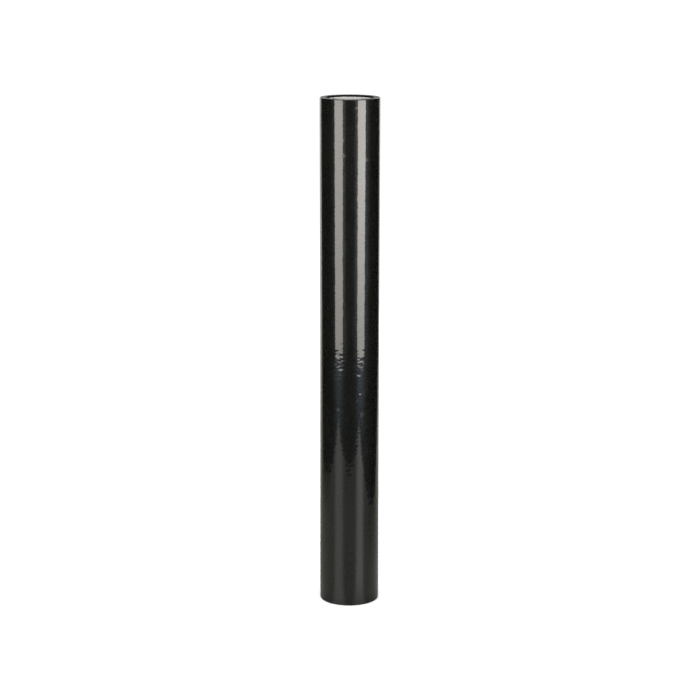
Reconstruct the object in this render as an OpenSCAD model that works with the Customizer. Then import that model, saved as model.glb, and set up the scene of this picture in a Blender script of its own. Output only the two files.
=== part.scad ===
// Roll of black protective film wound on a hollow paper core, standing on its end.
// Millimetres. +Z runs up the roll's axis. The origin is the centre of the lower end face, on the surface the roll stands on.

/* [Film] */
// Width of the film, which is the length of the roll
film_w = 500; // [300:10:1000]
// Radial thickness of all the turns together
film_build = 6.2; // [1:0.1:40]
// Thickness of the film, seen as the step where the loose end lies on the turn below
film_gauge = 0.08; // [0.04:0.01:0.15]
// Direction of the loose end, counted from +X towards +Y
tail_angle = 125; // [0:5:355]

/* [Core] */
// Inside diameter of the paper core
core_id = 38.1; // [25.4:0.1:80]
// Wall of the paper core
core_wall = 3.85; // [2:0.05:12]
// Depth of each end of the core below the end face of the film
core_recess = 1.8; // [0:0.1:10]

/* [Hidden] */
$fn = 240;

core_r = core_id / 2 + core_wall;       // outside of the core, and inside of the first turn
roll_r = core_r + film_build;           // outside of the last turn
core_len = film_w - 2 * core_recess;
far = 4 * roll_r;

// One half of a disc, above the X axis (side = 1) or below it (side = -1).
module half_disc(r, side) {
    intersection() {
        circle(r = r);
        translate([-far / 2, side > 0 ? 0 : -far]) square([far, far]);
    }
}

// Outline of the turns. Film climbs by one gauge in a full turn, so the outline is a spiral.
// It is drawn as two half circles that meet smoothly on one side and stand one gauge apart on
// the other, where the loose end makes its step.
module spiral_outline() {
    rotate(tail_angle) {
        half_disc(roll_r, 1);
        translate([-film_gauge / 2, 0]) half_disc(roll_r - film_gauge / 2, -1);
    }
}

// All the turns of film, as one solid wound tight on the core.
module film_winding() {
    color([0.08, 0.08, 0.085])
    linear_extrude(height = film_w)
    difference() {
        spiral_outline();
        circle(r = core_r);
    }
}

// Paper core: a plain tube, cut a little shorter than the film is wide.
module core_tube() {
    color([0.78, 0.77, 0.75])
    translate([0, 0, core_recess])
    difference() {
        cylinder(h = core_len, r = core_r);
        translate([0, 0, -1]) cylinder(h = core_len + 2, r = core_id / 2);
    }
}

film_winding();
core_tube();
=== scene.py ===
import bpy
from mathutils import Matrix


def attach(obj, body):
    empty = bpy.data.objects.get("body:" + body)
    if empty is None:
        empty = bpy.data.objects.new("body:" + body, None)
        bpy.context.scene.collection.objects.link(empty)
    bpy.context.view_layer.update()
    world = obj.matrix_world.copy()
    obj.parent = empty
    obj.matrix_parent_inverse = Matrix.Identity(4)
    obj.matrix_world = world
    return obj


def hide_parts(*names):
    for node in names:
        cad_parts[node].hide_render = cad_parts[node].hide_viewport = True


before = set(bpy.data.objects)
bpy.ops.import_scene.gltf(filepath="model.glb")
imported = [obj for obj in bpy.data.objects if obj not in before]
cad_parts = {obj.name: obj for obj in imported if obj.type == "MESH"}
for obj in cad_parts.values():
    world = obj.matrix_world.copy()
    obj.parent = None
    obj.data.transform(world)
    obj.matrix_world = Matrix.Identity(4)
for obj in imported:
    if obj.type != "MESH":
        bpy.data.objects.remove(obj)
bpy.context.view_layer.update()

import math

import bpy
import numpy as np

# ---------------------------------------------------------------- sizes, in metres, as in the construction model
LENGTH = 0.500  # width of the film web, and height of the standing roll
CORE_R = 0.0229  # where the film winding starts
ROLL_R = 0.0291  # outside of the winding
GAUGE = 0.00008  # thickness of one turn
BORE_R = 0.01905  # inside of the paper core
RECESS = 0.0018  # how far the core's ends sit inside the film's end faces
TAIL = math.radians(125.0)  # where the loose end lies, at the back left
SKIN = 0.000015  # the modelled skin stays this far inside the construction solid

rng = np.random.default_rng(5)


# ---------------------------------------------------------------- mesh helpers
def waves(rng, count, lam_lo, lam_hi, slope, radius, spread=90.0):
    """Random plane waves on the unrolled cylinder, whole numbers of them around it. slope is the RMS slope in radians along either direction, and spread is how far in degrees a wave may turn from running along the axis."""
    lam = lam_lo * (lam_hi / lam_lo) ** rng.random(count)
    ang = math.pi / 2 + (2 * rng.random(count) - 1) * math.radians(spread)
    k = 2 * math.pi / lam
    m = np.rint(k * np.cos(ang) * radius)
    kz = k * np.sin(ang)
    phase = rng.random(count) * 2 * math.pi
    size = np.hypot(m / radius, kz)
    amp = 1 / np.maximum(size, 1e-6)
    rms = math.sqrt(float(np.sum((amp * size) ** 2)) / 4)
    return m, kz, phase, amp * slope / rms


def surface(theta, z, sets):
    """Height of a sum of wave sets at each (theta, z)."""
    h = np.zeros_like(theta)
    for m, kz, phase, amp in sets:
        for a, b, c, d in zip(m, kz, phase, amp):
            h += d * np.cos(a * theta + b * z + c)
    return h


def torus_mesh(name, rings, materials, slot_of_ring, sharp_rings=(), seam_sharp=False):
    """Closed mesh from rings of points, each (n, 3), joined to the next and the last to the first. slot_of_ring gives the material of the faces between a ring and the next."""
    n = len(rings[0])
    count = len(rings)
    co = np.concatenate(rings).astype(np.float64)
    j, k = np.meshgrid(np.arange(count), np.arange(n), indexing="ij")
    j2, k2 = (j + 1) % count, (k + 1) % n
    quads = np.stack([j * n + k, j * n + k2, j2 * n + k2, j2 * n + k], axis=-1).reshape(-1, 4)
    mesh = bpy.data.meshes.new(name)
    mesh.vertices.add(len(co))
    mesh.vertices.foreach_set("co", co.ravel())
    mesh.loops.add(quads.size)
    mesh.loops.foreach_set("vertex_index", quads.ravel().astype(np.int32))
    mesh.polygons.add(len(quads))
    mesh.polygons.foreach_set("loop_start", (np.arange(len(quads)) * 4).astype(np.int32))
    mesh.polygons.foreach_set("loop_total", np.full(len(quads), 4, np.int32))
    mesh.polygons.foreach_set("material_index", np.repeat(np.asarray(slot_of_ring, np.int32), n))
    mesh.update(calc_edges=True)
    mesh.validate()
    mesh.polygons.foreach_set("use_smooth", np.ones(len(mesh.polygons), bool))
    for m in materials:
        mesh.materials.append(m)
    # crisp edges: whole rings, and the two columns beside the loose end
    ev = np.empty(len(mesh.edges) * 2, np.int32)
    mesh.edges.foreach_get("vertices", ev)
    a, b = ev.reshape(-1, 2).T
    ring_a, ring_b, col_a, col_b = a // n, b // n, a % n, b % n
    crisp = np.isin(ring_a, list(sharp_rings)) & (ring_a == ring_b)
    if seam_sharp:
        crisp |= (col_a == col_b) & ((col_a == 0) | (col_a == n - 1))
    attr = mesh.attributes.new("sharp_edge", "BOOLEAN", "EDGE")
    attr.data.foreach_set("value", crisp)
    mesh.update()
    ob = bpy.data.objects.new(name, mesh)
    bpy.context.scene.collection.objects.link(ob)
    return ob


def polar(r, theta, z):
    return np.stack([r * np.cos(theta), r * np.sin(theta), z + np.zeros_like(theta)], axis=-1)


# ---------------------------------------------------------------- material helpers
class Nodes:
    """A short way to write a node tree."""

    def __init__(self, name):
        self.mat = bpy.data.materials.new(name)
        self.mat.use_nodes = True
        self.nt = self.mat.node_tree
        self.nt.nodes.clear()
        self.out = self.nt.nodes.new("ShaderNodeOutputMaterial")
        self.co = self.nt.nodes.new("ShaderNodeTexCoord").outputs["Object"]

    def put(self, socket, value):
        if isinstance(value, bpy.types.NodeSocket):
            self.nt.links.new(value, socket)
        elif value is not None:
            socket.default_value = value

    def math(self, op, a, b=None, c=None, clamp=False):
        n = self.nt.nodes.new("ShaderNodeMath")
        n.operation, n.use_clamp = op, clamp
        for socket, value in zip(n.inputs, (a, b, c)):
            self.put(socket, value)
        return n.outputs[0]

    def vec(self, x, y, z):
        n = self.nt.nodes.new("ShaderNodeCombineXYZ")
        for socket, value in zip(n.inputs, (x, y, z)):
            self.put(socket, value)
        return n.outputs[0]

    def split(self, v):
        n = self.nt.nodes.new("ShaderNodeSeparateXYZ")
        self.put(n.inputs[0], v)
        return n.outputs

    def scale(self, v, s):
        n = self.nt.nodes.new("ShaderNodeVectorMath")
        n.operation = "MULTIPLY"
        self.put(n.inputs[0], v)
        n.inputs[1].default_value = s if hasattr(s, "__len__") else (s, s, s)
        return n.outputs[0]

    def noise(self, v, scale, detail=2.0, rough=0.5, distortion=0.0, dims="3D"):
        n = self.nt.nodes.new("ShaderNodeTexNoise")
        n.noise_dimensions = dims
        self.put(n.inputs["Vector"], v)
        n.inputs["Scale"].default_value = scale
        n.inputs["Detail"].default_value = detail
        n.inputs["Roughness"].default_value = rough
        n.inputs["Distortion"].default_value = distortion
        return n.outputs["Fac"]

    def voronoi(self, v, scale, feature="F1", out="Distance", randomness=1.0):
        n = self.nt.nodes.new("ShaderNodeTexVoronoi")
        n.feature = feature
        self.put(n.inputs["Vector"], v)
        n.inputs["Scale"].default_value = scale
        n.inputs["Randomness"].default_value = randomness
        return n.outputs[out]

    def distance(self, v, point):
        n = self.nt.nodes.new("ShaderNodeVectorMath")
        n.operation = "DISTANCE"
        self.put(n.inputs[0], v)
        n.inputs[1].default_value = point
        return n.outputs["Value"]

    def ramp(self, v, lo, hi, a=0.0, b=1.0, smooth=False):
        n = self.nt.nodes.new("ShaderNodeMapRange")
        n.interpolation_type = "SMOOTHSTEP" if smooth else "LINEAR"
        n.clamp = True
        self.put(n.inputs["Value"], v)
        for name, value in (("From Min", lo), ("From Max", hi), ("To Min", a), ("To Max", b)):
            n.inputs[name].default_value = value
        return n.outputs["Result"]

    def mix(self, f, a, b, kind="MIX"):
        n = self.nt.nodes.new("ShaderNodeMix")
        n.data_type, n.blend_type = "RGBA", kind
        self.put(n.inputs[0], f)
        for socket, value in ((n.inputs[6], a), (n.inputs[7], b)):
            if isinstance(value, bpy.types.NodeSocket):
                self.nt.links.new(value, socket)
            else:
                socket.default_value = (*value, 1.0)
        return n.outputs[2]

    def bump(self, height, distance, strength=1.0, normal=None):
        n = self.nt.nodes.new("ShaderNodeBump")
        n.inputs["Strength"].default_value = strength
        n.inputs["Distance"].default_value = distance
        self.put(n.inputs["Height"], height)
        if normal is not None:
            self.put(n.inputs["Normal"], normal)
        return n.outputs["Normal"]

    def principled(self, **values):
        p = self.nt.nodes.new("ShaderNodeBsdfPrincipled")
        for name, value in values.items():
            self.put(p.inputs[name.replace("_", " ")], value)
        self.nt.links.new(p.outputs[0], self.out.inputs["Surface"])
        return p


# ---------------------------------------------------------------- materials of the roll
def on_face(degrees, z):
    a = math.radians(degrees)
    return (ROLL_R * math.cos(a), ROLL_R * math.sin(a), z)


# small handling marks on the outer face, each with its radius: scuffs, and hard gels in the film
SCUFFS = [
    (on_face(-101.0, 0.4472), 0.0026), (on_face(-102.2, 0.4620), 0.0014), (on_face(-79.0, 0.4921), 0.0022), (on_face(-53.5, 0.4425), 0.0032),
    (on_face(-109.5, 0.4445), 0.0016), (on_face(-96.0, 0.2616), 0.0015), (on_face(-65.0, 0.1949), 0.0022), (on_face(-112.0, 0.2001), 0.0020),
]
GELS = [(on_face(-69.2, 0.2148), 0.00135), (on_face(-76.2, 0.2084), 0.00085), (on_face(-75.2, 0.4235), 0.00065)]
for _ in range(9):
    SCUFFS.append((on_face(-10.0 + 200.0 * rng.random(), 0.03 + 0.44 * rng.random()), 0.0014 + 0.0018 * rng.random()))
for _ in range(5):
    GELS.append((on_face(-10.0 + 200.0 * rng.random(), 0.03 + 0.44 * rng.random()), 0.0005 + 0.0004 * rng.random()))


def film_face():
    """Black polyethylene film seen on its face: near black, a sharp gloss over a soft bluish haze, fine orange peel, gels and hairline creases."""
    n = Nodes("film_face")
    # fine orange peel, smaller than the mesh carries
    peel = n.noise(n.scale(n.co, (0.55, 0.55, 1.0)), 330.0, 2.0, 0.55)
    peel_h = n.math("MULTIPLY", n.math("SUBTRACT", peel, 0.5), 1.6e-5)
    # gels: tiny lumps in some of the cells of a sparse pattern
    cell = n.voronoi(n.co, 150.0)
    pick = n.split(n.voronoi(n.co, 150.0, out="Color"))[0]
    lump = n.math("MULTIPLY", n.ramp(cell, 0.0, 0.12, 1.0, 0.0, True), n.ramp(pick, 0.66, 0.72))
    lump_h = n.math("MULTIPLY", lump, 1.7e-5)
    # hairline creases: thin lines where a warped noise crosses its middle, only in a few patches
    line = n.noise(n.scale(n.co, (1.0, 1.0, 0.55)), 75.0, 1.0, 0.5, 0.6)
    hair = n.ramp(n.math("ABSOLUTE", n.math("SUBTRACT", line, 0.5)), 0.0, 0.012, 1.0, 0.0, True)
    patch = n.ramp(n.noise(n.co, 38.0, 1.0), 0.60, 0.68, 0.0, 1.0, True)
    crease = n.math("MULTIPLY", hair, patch)
    crease_h = n.math("MULTIPLY", crease, -6.0e-6)
    height = n.math("ADD", n.math("ADD", peel_h, lump_h), crease_h)
    # the marks: a scuff is a small ragged patch of fine scratches, a gel is a smooth lump
    ragged = n.math("MULTIPLY", n.math("SUBTRACT", n.noise(n.co, 650.0, 2.0, 0.6), 0.5), 0.0040)
    scuff = 0.0
    for point, radius in SCUFFS:
        scuff = n.math("MAXIMUM", n.ramp(n.math("ADD", n.distance(n.co, point), ragged), 0.2 * radius, radius, 1.0, 0.0, True), scuff)
    scratch = n.math("SUBTRACT", n.noise(n.scale(n.co, (1.0, 1.0, 0.7)), 1700.0, 2.0, 0.6), 0.5)
    height = n.math("ADD", height, n.math("MULTIPLY", n.math("MULTIPLY", scratch, scuff), 1.5e-4))
    for point, radius in GELS:
        gel = n.ramp(n.distance(n.co, point), 0.0, radius, 1.0, 0.0, True)
        height = n.math("MULTIPLY_ADD", gel, 0.065 * radius, height)
    normal = n.bump(height, 1.0)
    # the haze is uneven, in broad clouds and small mottles, and duller along the creases
    cloud = n.noise(n.scale(n.co, (1.0, 1.0, 0.35)), 60.0, 3.0, 0.6)
    mottle = n.noise(n.scale(n.co, (1.0, 1.0, 1.3)), 240.0, 2.0, 0.6)
    rough = n.math("ADD", n.ramp(cloud, 0.3, 0.7, 0.225, 0.295), n.ramp(mottle, 0.34, 0.66, 0.0, 0.03, True))
    rough = n.math("ADD", rough, n.math("MULTIPLY", crease, 0.12))
    tone = n.mix(n.ramp(cloud, 0.35, 0.65), (0.0051, 0.0049, 0.0036), (0.0066, 0.0063, 0.0047))
    n.principled(
        Base_Color=tone,
        Roughness=rough,
        IOR=1.5,
        Specular_IOR_Level=0.17,
        Specular_Tint=(0.58, 0.77, 1.0, 1.0),
        Coat_Weight=1.0,
        Coat_Roughness=0.035,
        Coat_IOR=1.5,
        Normal=normal,
        Coat_Normal=normal,
    )
    return n.mat


def film_edge():
    """The slit edges of all the turns, seen on the end of the roll: dark grey, with fine rings and a dull sheen."""
    n = Nodes("film_edge")
    x, y, z = n.split(n.co)[:3]
    r = n.math("SQRT", n.math("ADD", n.math("MULTIPLY", x, x), n.math("MULTIPLY", y, y)))
    fine = n.noise(n.vec(n.math("MULTIPLY", r, 5200.0), n.math("MULTIPLY", x, 90.0), n.math("MULTIPLY", y, 90.0)), 1.0, 2.0, 0.6)
    broad = n.noise(n.vec(n.math("MULTIPLY", r, 1400.0), n.math("MULTIPLY", x, 25.0), n.math("MULTIPLY", y, 25.0)), 1.0, 2.0, 0.5)
    scuff = n.noise(n.co, 300.0, 3.0, 0.6)
    tone = n.mix(n.ramp(n.math("ADD", n.math("MULTIPLY", fine, 0.5), n.math("MULTIPLY", broad, 0.5)), 0.38, 0.62), (0.010, 0.010, 0.010), (0.036, 0.034, 0.032))
    tone = n.mix(n.ramp(scuff, 0.60, 0.75, 0.0, 0.5), tone, (0.060, 0.057, 0.053))
    height = n.math("ADD", n.math("MULTIPLY", fine, 2.2e-5), n.math("MULTIPLY", scuff, 1.2e-5))
    n.principled(
        Base_Color=tone,
        Roughness=n.ramp(broad, 0.3, 0.7, 0.34, 0.50),
        IOR=1.5,
        Normal=n.bump(height, 1.0),
    )
    return n.mat


def film_inner():
    """The first turn, where it stands clear of the core at each end: black, and dulled by paper dust."""
    n = Nodes("film_inner")
    dust = n.noise(n.co, 700.0, 3.0, 0.6)
    tone = n.mix(n.ramp(dust, 0.55, 0.72, 0.0, 0.5), (0.0050, 0.0050, 0.0048), (0.020, 0.019, 0.018))
    n.principled(
        Base_Color=tone,
        Roughness=n.ramp(dust, 0.3, 0.7, 0.55, 0.70),
        Specular_IOR_Level=0.12,
        Normal=n.bump(n.math("MULTIPLY", dust, 1.5e-5), 1.0),
    )
    return n.mat


HELIX = 0.070  # rise of the core's inner ply in one turn


def helix_phase(n, x, y, z, shift=0.0):
    """0 to 1 across one ply of the spiral-wound tube, 0.5 on its joint."""
    around = n.math("DIVIDE", n.math("ARCTAN2", y, x), 2 * math.pi)
    turns = n.math("SUBTRACT", n.math("DIVIDE", z, HELIX), around)
    return n.math("FRACT", n.math("ADD", turns, 10.5 + shift))


def core_paper(name, edge):
    """Matt pale grey paperboard. edge is for the cut ends, where the plies show."""
    n = Nodes(name)
    x, y, z = n.split(n.co)[:3]
    # the fibres run along the plies: turn the pattern with the height so that it follows their slope
    turn = n.math("MULTIPLY", z, -2 * math.pi / HELIX)
    c, s = n.math("COSINE", turn), n.math("SINE", turn)
    u = n.math("SUBTRACT", n.math("MULTIPLY", x, c), n.math("MULTIPLY", y, s))
    v = n.math("ADD", n.math("MULTIPLY", x, s), n.math("MULTIPLY", y, c))
    along = n.vec(u, v, n.math("MULTIPLY", z, 0.25))
    fibre = n.noise(along, 1500.0, 3.0, 0.65)
    blotch = n.noise(n.co, 110.0, 3.0, 0.55)
    fleck = n.voronoi(n.co, 900.0)
    fleck_pick = n.split(n.voronoi(n.co, 900.0, out="Color"))[0]
    tone = n.mix(n.ramp(fibre, 0.3, 0.7), (0.47, 0.46, 0.45), (0.61, 0.60, 0.59))
    tone = n.mix(n.ramp(blotch, 0.35, 0.65, 0.0, 0.35), tone, (0.55, 0.53, 0.52))
    dark = n.math("MULTIPLY", n.ramp(fleck, 0.0, 0.30, 1.0, 0.0), n.ramp(fleck_pick, 0.90, 0.93))
    tone = n.mix(n.math("MULTIPLY", dark, 0.55), tone, (0.27, 0.24, 0.21))
    height = n.math("ADD", n.math("MULTIPLY", fibre, 4.5e-5), n.math("MULTIPLY", blotch, 6.0e-5))
    if edge:
        r = n.math("SQRT", n.math("ADD", n.math("MULTIPLY", x, x), n.math("MULTIPLY", y, y)))
        wob = n.math("MULTIPLY", n.math("SUBTRACT", blotch, 0.5), 0.25)
        ply = n.math("FRACT", n.math("ADD", n.math("DIVIDE", n.math("SUBTRACT", r, BORE_R), 0.00048), wob))
        glue = n.ramp(n.math("ABSOLUTE", n.math("SUBTRACT", ply, 0.5)), 0.30, 0.48, 0.0, 1.0, True)
        tone = n.mix(n.math("MULTIPLY", glue, 0.55), tone, (0.30, 0.27, 0.24))
        height = n.math("SUBTRACT", height, n.math("MULTIPLY", glue, 8.0e-5))
    else:
        joint = n.ramp(n.math("ABSOLUTE", n.math("SUBTRACT", helix_phase(n, x, y, z), 0.5)), 0.003, 0.009, 1.0, 0.0, True)
        tone = n.mix(n.math("MULTIPLY", joint, 0.6), tone, (0.30, 0.28, 0.26))
        height = n.math("SUBTRACT", height, n.math("MULTIPLY", joint, 1.0e-4))
    n.principled(
        Base_Color=tone,
        Roughness=n.ramp(fibre, 0.2, 0.8, 0.95, 0.82),
        Specular_IOR_Level=0.25,
        Normal=n.bump(height, 1.0),
    )
    return n.mat


# ---------------------------------------------------------------- the film winding
def film_winding():
    cols = 132
    half = 0.5 * GAUGE / ROLL_R  # the loose end's little face takes one narrow column
    phi = half + (2 * math.pi - 2 * half) * np.arange(cols) / (cols - 1)  # from the loose end, turn by turn
    theta = phi + TAIL
    base = np.where(phi <= math.pi, ROLL_R, ROLL_R - GAUGE / 2 - GAUGE / 2 * np.cos(phi)) - SKIN
    r2 = np.random.default_rng(256)
    peel = [
        waves(r2, 240, 0.0025, 0.0046, math.radians(0.42), ROLL_R, 30.0),
        waves(r2, 90, 0.0045, 0.011, math.radians(0.26), ROLL_R),
        waves(r2, 30, 0.012, 0.050, math.radians(0.08), ROLL_R),
    ]
    lift = [waves(r2, 10, 0.012, 0.060, 1.0, ROLL_R)]

    def side(r, z, size=1.0):
        """A ring of the outer face: r below the skin, at height z."""
        h = surface(theta, np.full(cols, z), peel)
        h = np.clip(h, -3.2e-5, 3.2e-5) - 3.2e-5
        # the loose end stands off a little here and there
        up = float(np.sum(np.cos(lift[0][1] * z + lift[0][2]))) / 10
        edge = np.exp(-((phi * ROLL_R) / 0.0016)) * max(0.0, 0.25 + up) * 1.6e-4
        return base + r + (h + edge) * size

    fillet = 0.0008
    lip = 0.00014
    arcs = [math.radians(v) for v in (0, 12, 24, 36, 48, 60, 75, 90)]
    rings, slots, sharp = [], [], []

    def add(points, slot):
        rings.append(points)
        slots.append(slot)

    # up the outer face
    lo, hi = fillet + SKIN, LENGTH - fillet - SKIN
    rows = 640
    for t in reversed(arcs[1:]):
        add(polar(side(-fillet * (1 - math.cos(t)), lo), theta, lo - fillet * math.sin(t)), 0)
    for z in np.linspace(lo, hi, rows):
        add(polar(side(0.0, z), theta, z), 0)
    for t in arcs[1:]:
        add(polar(side(-fillet * (1 - math.cos(t)), hi), theta, hi + fillet * math.sin(t)), 0)
    # across the upper end: bands of turns that stand a little higher or lower, as a slit and wound edge does
    r3 = np.random.default_rng(23)
    inner = CORE_R + SKIN
    outer = float(base.min()) - fillet - 4e-5

    def bands(count):
        edges = np.sort(r3.random(count - 1)) * 0.9 + 0.05
        return edges, np.concatenate([[0.3], r3.random(count - 2), [0.4]]) * 5.0e-5

    def face(z_sign, z_face):
        """Rings across one end, from the outer edge to the inner lip."""
        edges, depth = bands(11)
        stops = [0.0]
        for e in edges:
            stops += [e - 0.006, e + 0.006]
        stops += [max(0.93, edges[-1] + 0.012), 1.0]
        wob = [waves(r3, 12, 0.02, 0.10, 1.0, 0.026)]
        got = []
        for i, s in enumerate(stops):
            band = min(i // 2, len(depth) - 1)
            # a band follows the winding inward by one gauge in each turn
            f = outer + (inner + lip - outer) * s - GAUGE * (phi / (2 * math.pi)) * (0 < s < 1)
            d = depth[band] * (1 + 0.15 * surface(theta, np.full(cols, s * 0.006), wob) / 0.02)
            d = np.clip(d, 0.0, 2.0e-4)
            if i == 0:
                d = d * 0
            got.append(polar(f, theta, z_face - z_sign * d))
        return got

    for ring in face(1, LENGTH - SKIN):
        add(ring, 1)
    slots[-2:] = [2, 2]  # the first few turns are dull and black
    # over the inner lip, down inside behind the core, and out at the lower end
    for t in arcs[1:]:
        add(polar(np.full(cols, inner + lip * (1 - math.sin(t))), theta, LENGTH - SKIN - lip * (1 - math.cos(t))), 2)
    for z in (LENGTH - 0.0008, LENGTH - 0.0013, LENGTH - 0.0022, LENGTH * 0.75, LENGTH * 0.5, LENGTH * 0.25, 0.0022, 0.0013, 0.0008):
        add(polar(np.full(cols, inner), theta, z), 2)
    for t in reversed(arcs[1:]):
        add(polar(np.full(cols, inner + lip * (1 - math.sin(t))), theta, SKIN + lip * (1 - math.cos(t))), 2)
    for i, ring in enumerate(reversed(face(-1, SKIN))):
        add(ring, 1 if i else 2)
    slots[-1] = 0
    ob = torus_mesh("film_roll", rings, [film_face(), film_edge(), film_inner()], slots, sharp, seam_sharp=True)
    return ob


# ---------------------------------------------------------------- the paper core
def core_tube():
    cols = 156
    theta = 2 * math.pi * np.arange(cols) / cols
    r4 = np.random.default_rng(31)
    outer = CORE_R - SKIN
    lo, hi = RECESS, LENGTH - RECESS
    fuzz = [waves(r4, 60, 0.0022, 0.009, 1.0, 0.021)]
    slow = [waves(r4, 16, 0.02, 0.12, 1.0, 0.021)]
    rings, slots = [], []

    def add(points, slot):
        rings.append(points)
        slots.append(slot)

    def wall(z):
        """Inner wall at height z: the helical joint of the inner ply, the ply below it showing through, and a slight unevenness."""
        zz = np.full(cols, z)
        phase = np.mod(zz / HELIX - theta / (2 * math.pi) + 10.5, 1.0) - 0.5
        s = phase * HELIX
        groove = 2.2e-4 * np.exp(-((s / 0.0008) ** 2))
        step = 6.0e-5 * np.exp(-np.maximum(s, 0) / 0.004) * (s > 0)
        below = np.mod(phase + 0.5 + 0.5, 1.0) - 0.5
        through = 5.0e-5 * np.exp(-((below * HELIX / 0.0018) ** 2))
        uneven = 2.2e-5 * surface(theta, zz, slow) / 0.02 + 1.2e-5 * surface(theta, zz, fuzz) / 0.0011
        return BORE_R + groove - step + through + np.clip(uneven, -1e-4, 1e-4)

    def end(sign, z_end):
        """Rings over a cut end, from the outer edge to the inner one, with the plies standing a little unevenly."""
        got = [polar(np.full(cols, outer), theta, z_end - sign * 2.5e-4)]
        plies = 8
        width = (outer - BORE_R) / plies
        r5 = np.random.default_rng(41 if sign > 0 else 43)
        for p in range(plies):
            d = 1.5e-5 + 9e-5 * r5.random()
            for f in (0.10, 0.50, 0.90):
                r = outer - (p + f) * width
                rough = surface(theta, np.full(cols, r), fuzz) / 0.0011
                dip = d + (2.5e-5 if f == 0.50 else 7.0e-5) + 2.6e-5 * rough
                if p == 0 and f == 0.10:
                    dip = dip + 5e-5
                got.append(polar(np.full(cols, r), theta, z_end - sign * np.clip(dip, 0, 4e-4)))
        got.append(polar(wall(z_end - sign * 2.5e-4), theta, z_end - sign * (2.2e-4 + np.clip(2.0e-5 * surface(theta, np.full(cols, 0.0), fuzz) / 0.0011, -1e-4, 1e-4))))
        return got

    for z in (lo + 4e-4, 0.03, 0.12, 0.25, 0.38, 0.47, hi - 4e-4):
        add(polar(np.full(cols, outer), theta, z), 0)
    for ring in end(1, hi):
        add(ring, 1)
    slots[-1] = 0
    # down the inner wall: close rows near the ends, wider ones between
    near = np.concatenate([np.arange(0.0006, 0.045, 0.0009), np.arange(0.046, 0.249, 0.0024)])
    for z in np.concatenate([hi - near, (lo + near)[::-1]]):
        add(polar(wall(z), theta, z), 0)
    for i, ring in enumerate(reversed(end(-1, lo))):
        add(ring, 1)
    slots[-1] = 0
    return torus_mesh("core_paper_tube", rings, [core_paper("core_wall", False), core_paper("core_cut", True)], slots)


film = film_winding()
core = core_tube()
for piece, node, slot in ((film, "film_winding", "black_film"), (core, "core_tube", "paper_core")):
    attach(piece, "root")
    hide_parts(node)


# ---------------------------------------------------------------- stage: floor, backdrop, light cards
def heading(azimuth, distance, z=0.0):
    """A point by its heading from the roll: 0 is towards the front, 90 to the right, 180 behind."""
    a = math.radians(azimuth)
    return (distance * math.sin(a), -distance * math.cos(a), z)


def stage_mesh(name, verts, faces, mat, camera=False, diffuse=False, glossy=False, shadow=False):
    mesh = bpy.data.meshes.new(name)
    mesh.from_pydata(verts, [], faces)
    mesh.materials.append(mat)
    mesh.update()
    ob = bpy.data.objects.new(name, mesh)
    bpy.context.scene.collection.objects.link(ob)
    ob.visible_camera, ob.visible_diffuse, ob.visible_glossy = camera, diffuse, glossy
    ob.visible_shadow = shadow
    ob.visible_transmission = ob.visible_volume_scatter = False
    return ob


def glow(name, colour, strength):
    """Plain light of one colour. strength may be a function that builds a socket."""
    n = Nodes(name)
    e = n.nt.nodes.new("ShaderNodeEmission")
    e.inputs["Color"].default_value = (*colour, 1.0)
    n.put(e.inputs["Strength"], strength(n) if callable(strength) else strength)
    n.nt.links.new(e.outputs[0], n.out.inputs["Surface"])
    return n.mat


def softbox(name, left, right, bottom, top, distance, colour, ramp):
    """An upright soft light. left and right are its edges' headings at the bottom and the top, and ramp is its strength from one height to another."""
    verts = [heading(left[0], distance, bottom), heading(right[0], distance, bottom), heading(right[1], distance, top), heading(left[1], distance, top)]

    def strength(n):
        return n.ramp(n.split(n.co)[2], *ramp)

    return stage_mesh(name, verts, [(0, 1, 2, 3)], glow(name, colour, strength), glossy=True)


softbox("softbox_left", (-56.2, -62.6), (-25.9, -28.0), -0.003, 0.62, 1.2, (1.0, 0.925, 0.825), (0.0, 0.42, 5.0, 7.65))
softbox("softbox_right", (29.3, 30.3), (57.6, 63.3), -0.0125, 0.62, 1.2, (1.0, 0.932, 0.845), (-0.05, 0.34, 5.75, 9.8, True))


def dim_patch(name, columns, rows, distance, colour):
    """Dim light in a patch, strongest near a softbox. columns are (heading at the floor, heading at 0.62 m, strength) and rows are (height, share of the strength)."""
    verts, level = [], []
    for low, high, strength in columns:
        for z, share in rows:
            verts.append(heading(low + (high - low) * z / 0.62, distance, z))
            level.append(strength * share)
    m = len(rows)
    faces = [(i * m + j, (i + 1) * m + j, (i + 1) * m + j + 1, i * m + j + 1) for i in range(len(columns) - 1) for j in range(m - 1)]

    def strength_of(n):
        node = n.nt.nodes.new("ShaderNodeAttribute")
        node.attribute_name = "level"
        return node.outputs["Fac"]

    ob = stage_mesh(name, verts, faces, glow(name, colour, strength_of), glossy=True)
    ob.data.attributes.new("level", "FLOAT", "POINT").data.foreach_set("value", level)
    return ob


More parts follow.
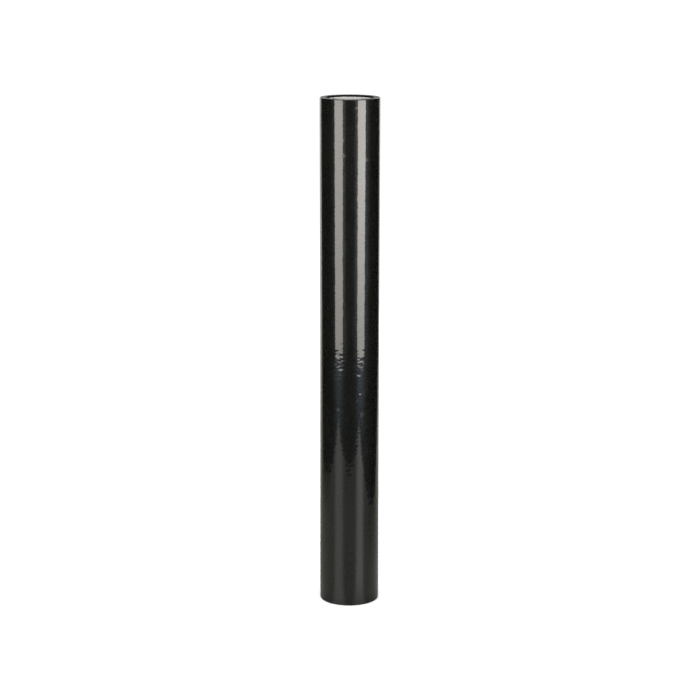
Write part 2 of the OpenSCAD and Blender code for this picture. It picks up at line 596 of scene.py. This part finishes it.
# the cloth round each softbox glows a little, beside it and below it
beside = [(-0.017, 0.48), (0.06, 0.80), (0.16, 0.97), (0.62, 1.03)]
for name, low, high, turn, steps in (
    ("rim_left", -25.9, -28.0, 1, ((0, 0.70), (4.4, 0.55), (8.1, 0.43), (11.8, 0.29), (15.5, 0.17), (19.2, 0.10), (23, 0.05), (27, 0.0))),
    ("rim_middle", 29.3, 30.3, -1, ((0, 0.68), (2.0, 0.61), (5.9, 0.47), (9.8, 0.31), (13.7, 0.21), (17.6, 0.12), (21.5, 0.06), (25.4, 0.0))),
    ("rim_right", 57.6, 63.3, 1, ((0, 0.36), (6, 0.32), (11, 0.31), (16, 0.16), (21, 0.07), (27, 0.0))),
):
    dim_patch(name, [(low + turn * d, high + turn * d, s) for d, s in steps], beside, 1.2, (1.0, 0.965, 0.965))
below = [(-0.175, 0.0), (-0.14, 0.22), (-0.105, 0.28), (-0.07, 0.58), (-0.04, 1.0), (-0.012, 1.25)]
for name, centre, size in (("under_left", -42.5, 0.31), ("under_right", 42.5, 0.33)):
    dim_patch(name, [(centre + d, centre + d, size * s) for d, s in ((-20, 0.0), (-14, 0.30), (-7, 0.8), (0, 1.0), (7, 0.8), (13, 0.32), (19, 0.0))], below, 1.2, (0.66, 0.78, 1.0))
# and the room in front of the roll is a little lighter high up
dim_patch("room_front", [(-28, -28, 0.0), (-20, -20, 0.04), (0, 0, 0.06), (21, 21, 0.04), (30, 30, 0.0)], [(0.06, 0.0), (0.22, 0.8), (0.40, 1.0), (0.62, 1.0)], 1.21, (1.0, 1.0, 0.95))

# even light from the front, for the surfaces that scatter it
fill = [heading(-38, 1.6, 0.62), heading(38, 1.6, 0.62), heading(38, 1.6, 1.5), heading(-38, 1.6, 1.5)]
stage_mesh("fill_card", fill, [(0, 1, 2, 3)], glow("fill_card", (1.0, 0.99, 0.985), 5.0), diffuse=True)

# the pale table that the film mirrors, a card that glows with the table's light and shade painted into its glow: its
# near edges show in the lower half of the roll
table = [
    (-0.52, -0.60), (-0.42, -0.555), (0.0, -0.52), (0.37, -0.55), (0.45, -0.60), (0.42, -0.27), (0.39, -0.12), (0.35, 0.02), (0.36, 0.17),
    (0.405, 0.285), (0.488, 0.523), (0.563, 0.805), (0.61, 1.06), (0.76, 1.50), (-1.15, 1.10), (-0.62, 0.50), (-0.46, 0.26), (-0.485, -0.03), (-0.51, -0.32),
]


def table_strength(n):
    x, y, z = n.split(n.co)[:3]
    r = n.math("SQRT", n.math("ADD", n.math("MULTIPLY", x, x), n.math("MULTIPLY", y, y)))
    az = n.math("MULTIPLY", n.math("ARCTAN2", x, n.math("MULTIPLY", y, -1.0)), 180 / math.pi)
    # painted shade and light: the table's glow is duller beside and behind the roll, and lighter again farther back
    rear = n.math("MULTIPLY_ADD", r, 0.75, 0.20)
    turn = n.ramp(n.math("ABSOLUTE", az), 120.0, 148.0, 0.0, 1.0, True)
    base = n.math("ADD", n.math("MULTIPLY", rear, turn), n.math("MULTIPLY", n.math("SUBTRACT", 1.0, turn), 0.345))
    base = n.math("MULTIPLY", base, n.ramp(az, -128.0, -76.0, 0.74, 1.0, True))
    # painted reflection: the two soft lights are painted into the glow as their sheen in the table's satin top, each
    # under its own heading as the roll sees it
    slant = n.math("MULTIPLY", n.math("ARCSINE", n.math("DIVIDE", 0.0107, n.math("MAXIMUM", r, 0.030))), 180 / math.pi)
    total = base
    for centre, half, soft, size, close in ((-42.0, 15.0, 9.0, 0.60, 0.95), (42.0, 13.0, 9.0, 0.93, 0.62)):
        seen = n.math("ADD", n.math("ABSOLUTE", az), slant)
        seen = n.math("MULTIPLY", seen, n.math("SIGN", az))
        off = n.math("ABSOLUTE", n.math("SUBTRACT", seen, centre))
        lobe = n.math("MULTIPLY", n.ramp(off, half - soft, half + soft, size, 0.0, True), n.ramp(r, 0.04, 0.12, close, 1.0, True))
        total = n.math("ADD", total, lobe)
    # both sides fade towards the table's edges
    left = n.math("MULTIPLY", n.ramp(az, -90.0, -68.0, 1.0, 0.0, True), n.ramp(r, 0.31, 0.48, 0.0, 0.60))
    left = n.math("MULTIPLY", left, n.ramp(az, -138.0, -122.0, 0.0, 1.0, True))
    right = n.math("MULTIPLY", n.ramp(az, 62.0, 84.0, 0.0, 1.0, True), n.ramp(r, 0.10, 0.31, 0.0, 0.42))
    right = n.math("MULTIPLY", right, n.ramp(az, 114.0, 130.0, 1.0, 0.50, True))
    fade = n.math("SUBTRACT", 1.0, n.math("MAXIMUM", left, right))
    # painted shade: the glow is dimmer close to the roll, where the roll shades the table
    near = n.ramp(r, 0.029, 0.060, 0.72, 1.0, True)
    return n.math("MULTIPLY", n.math("MULTIPLY", total, near), fade)


stage_mesh("table_card", [(x, y, 0.0) for x, y in table], [tuple(range(len(table)))], glow("table_card", (1.0, 0.965, 0.855), table_strength), glossy=True)

# the backdrop that the film's edges mirror
low_arc, high_arc = ([a - i * (360 + a - b) / 16 for i in range(17)] for a, b in ((-134.0, 149.5), (-159.0, 140.0)))
wall_verts = [heading(a, 1.5, z) for pair in zip(low_arc, high_arc) for a, z in zip(pair, (-0.05, 1.6))]


def wall_strength(n):
    x, y, z = n.split(n.co)[:3]
    az = n.math("MULTIPLY", n.math("ARCTAN2", x, n.math("MULTIPLY", y, -1.0)), 180 / math.pi)
    side = n.ramp(n.math("ABSOLUTE", az), 156.0, 172.0, 0.90, 0.42, True)
    return n.math("MAXIMUM", side, n.ramp(z, 0.46, 0.56, 0.0, 0.8, True))


stage_mesh("wall_card", wall_verts, [(2 * i, 2 * i + 2, 2 * i + 3, 2 * i + 1) for i in range(16)], glow("wall_card", (1.0, 0.99, 0.975), wall_strength), glossy=True)


# the floor and the backdrop that the camera sees
def floor_material():
    n = Nodes("floor")
    x, y, z = n.split(n.co)[:3]
    r = n.math("SQRT", n.math("ADD", n.math("MULTIPLY", x, x), n.math("MULTIPLY", y, y)))
    p = n.principled(Base_Color=(0.86, 0.86, 0.86, 1.0), Roughness=0.9, Specular_IOR_Level=0.1)
    p.inputs["Emission Color"].default_value = (1, 1, 1, 1)
    n.put(p.inputs["Emission Strength"], n.ramp(r, 0.03, 0.9, 0.40, 1.05, True))
    return n.mat


ring = [(6.0 * math.cos(2 * math.pi * i / 64), 6.0 * math.sin(2 * math.pi * i / 64), -0.0002) for i in range(64)]
stage_mesh("floor", ring, [tuple(range(64))], floor_material(), camera=True, diffuse=True)
rows = [(6.0 * math.cos(math.radians(e)), 6.0 * math.sin(math.radians(e))) for e in (-4, 0, 15, 30, 45, 60, 75, 88)]
dome_verts = [(r * math.cos(2 * math.pi * i / 64), r * math.sin(2 * math.pi * i / 64), z) for r, z in rows for i in range(64)]
dome_faces = [(j * 64 + i, j * 64 + (i + 1) % 64, (j + 1) * 64 + (i + 1) % 64, (j + 1) * 64 + i) for j in range(len(rows) - 1) for i in range(64)]
dome_faces.append(tuple((len(rows) - 1) * 64 + i for i in range(64)))
stage_mesh("backdrop", dome_verts, dome_faces, glow("backdrop", (1, 1, 1), 1.15), camera=True)

# soft light from above, for the end face, the core and the floor
top = bpy.data.lights.new("top_light", "AREA")
top.shape, top.size, top.size_y = "RECTANGLE", 1.4, 1.1
top.energy = 26.0
top.color = (1.0, 0.985, 0.965)
top_ob = bpy.data.objects.new("top_light", top)
top_ob.location = (0.0, 0.10, 1.9)
top_ob.visible_camera = False
bpy.context.scene.collection.objects.link(top_ob)

world = bpy.data.worlds.new("studio")
world.use_nodes = True
world.node_tree.nodes["Background"].inputs[0].default_value = (0.0055, 0.0055, 0.0052, 1)
world.node_tree.nodes["Background"].inputs[1].default_value = 1.0
bpy.context.scene.world = world


# ---------------------------------------------------------------- camera, at the photograph's angle
def camera():
    from mathutils import Matrix, Vector

    data = bpy.data.cameras.new("camera")
    data.sensor_width = 36.0
    data.lens = 1961.0 / 700.0 * 36.0
    data.clip_start, data.clip_end = 0.05, 50.0
    ob = bpy.data.objects.new("camera", data)
    bpy.context.scene.collection.objects.link(ob)
    eye = Vector((0.00039, -1.874, 0.667))
    aim = Vector((0.00039, 0.0, 0.25343))
    turn = (aim - eye).to_track_quat("-Z", "Y").to_matrix().to_4x4()
    ob.matrix_world = Matrix.Translation(eye) @ turn @ Matrix.Rotation(math.radians(0.100), 4, "Z")
    bpy.context.scene.camera = ob


camera()
bpy.context.scene.view_settings.view_transform = "Standard"
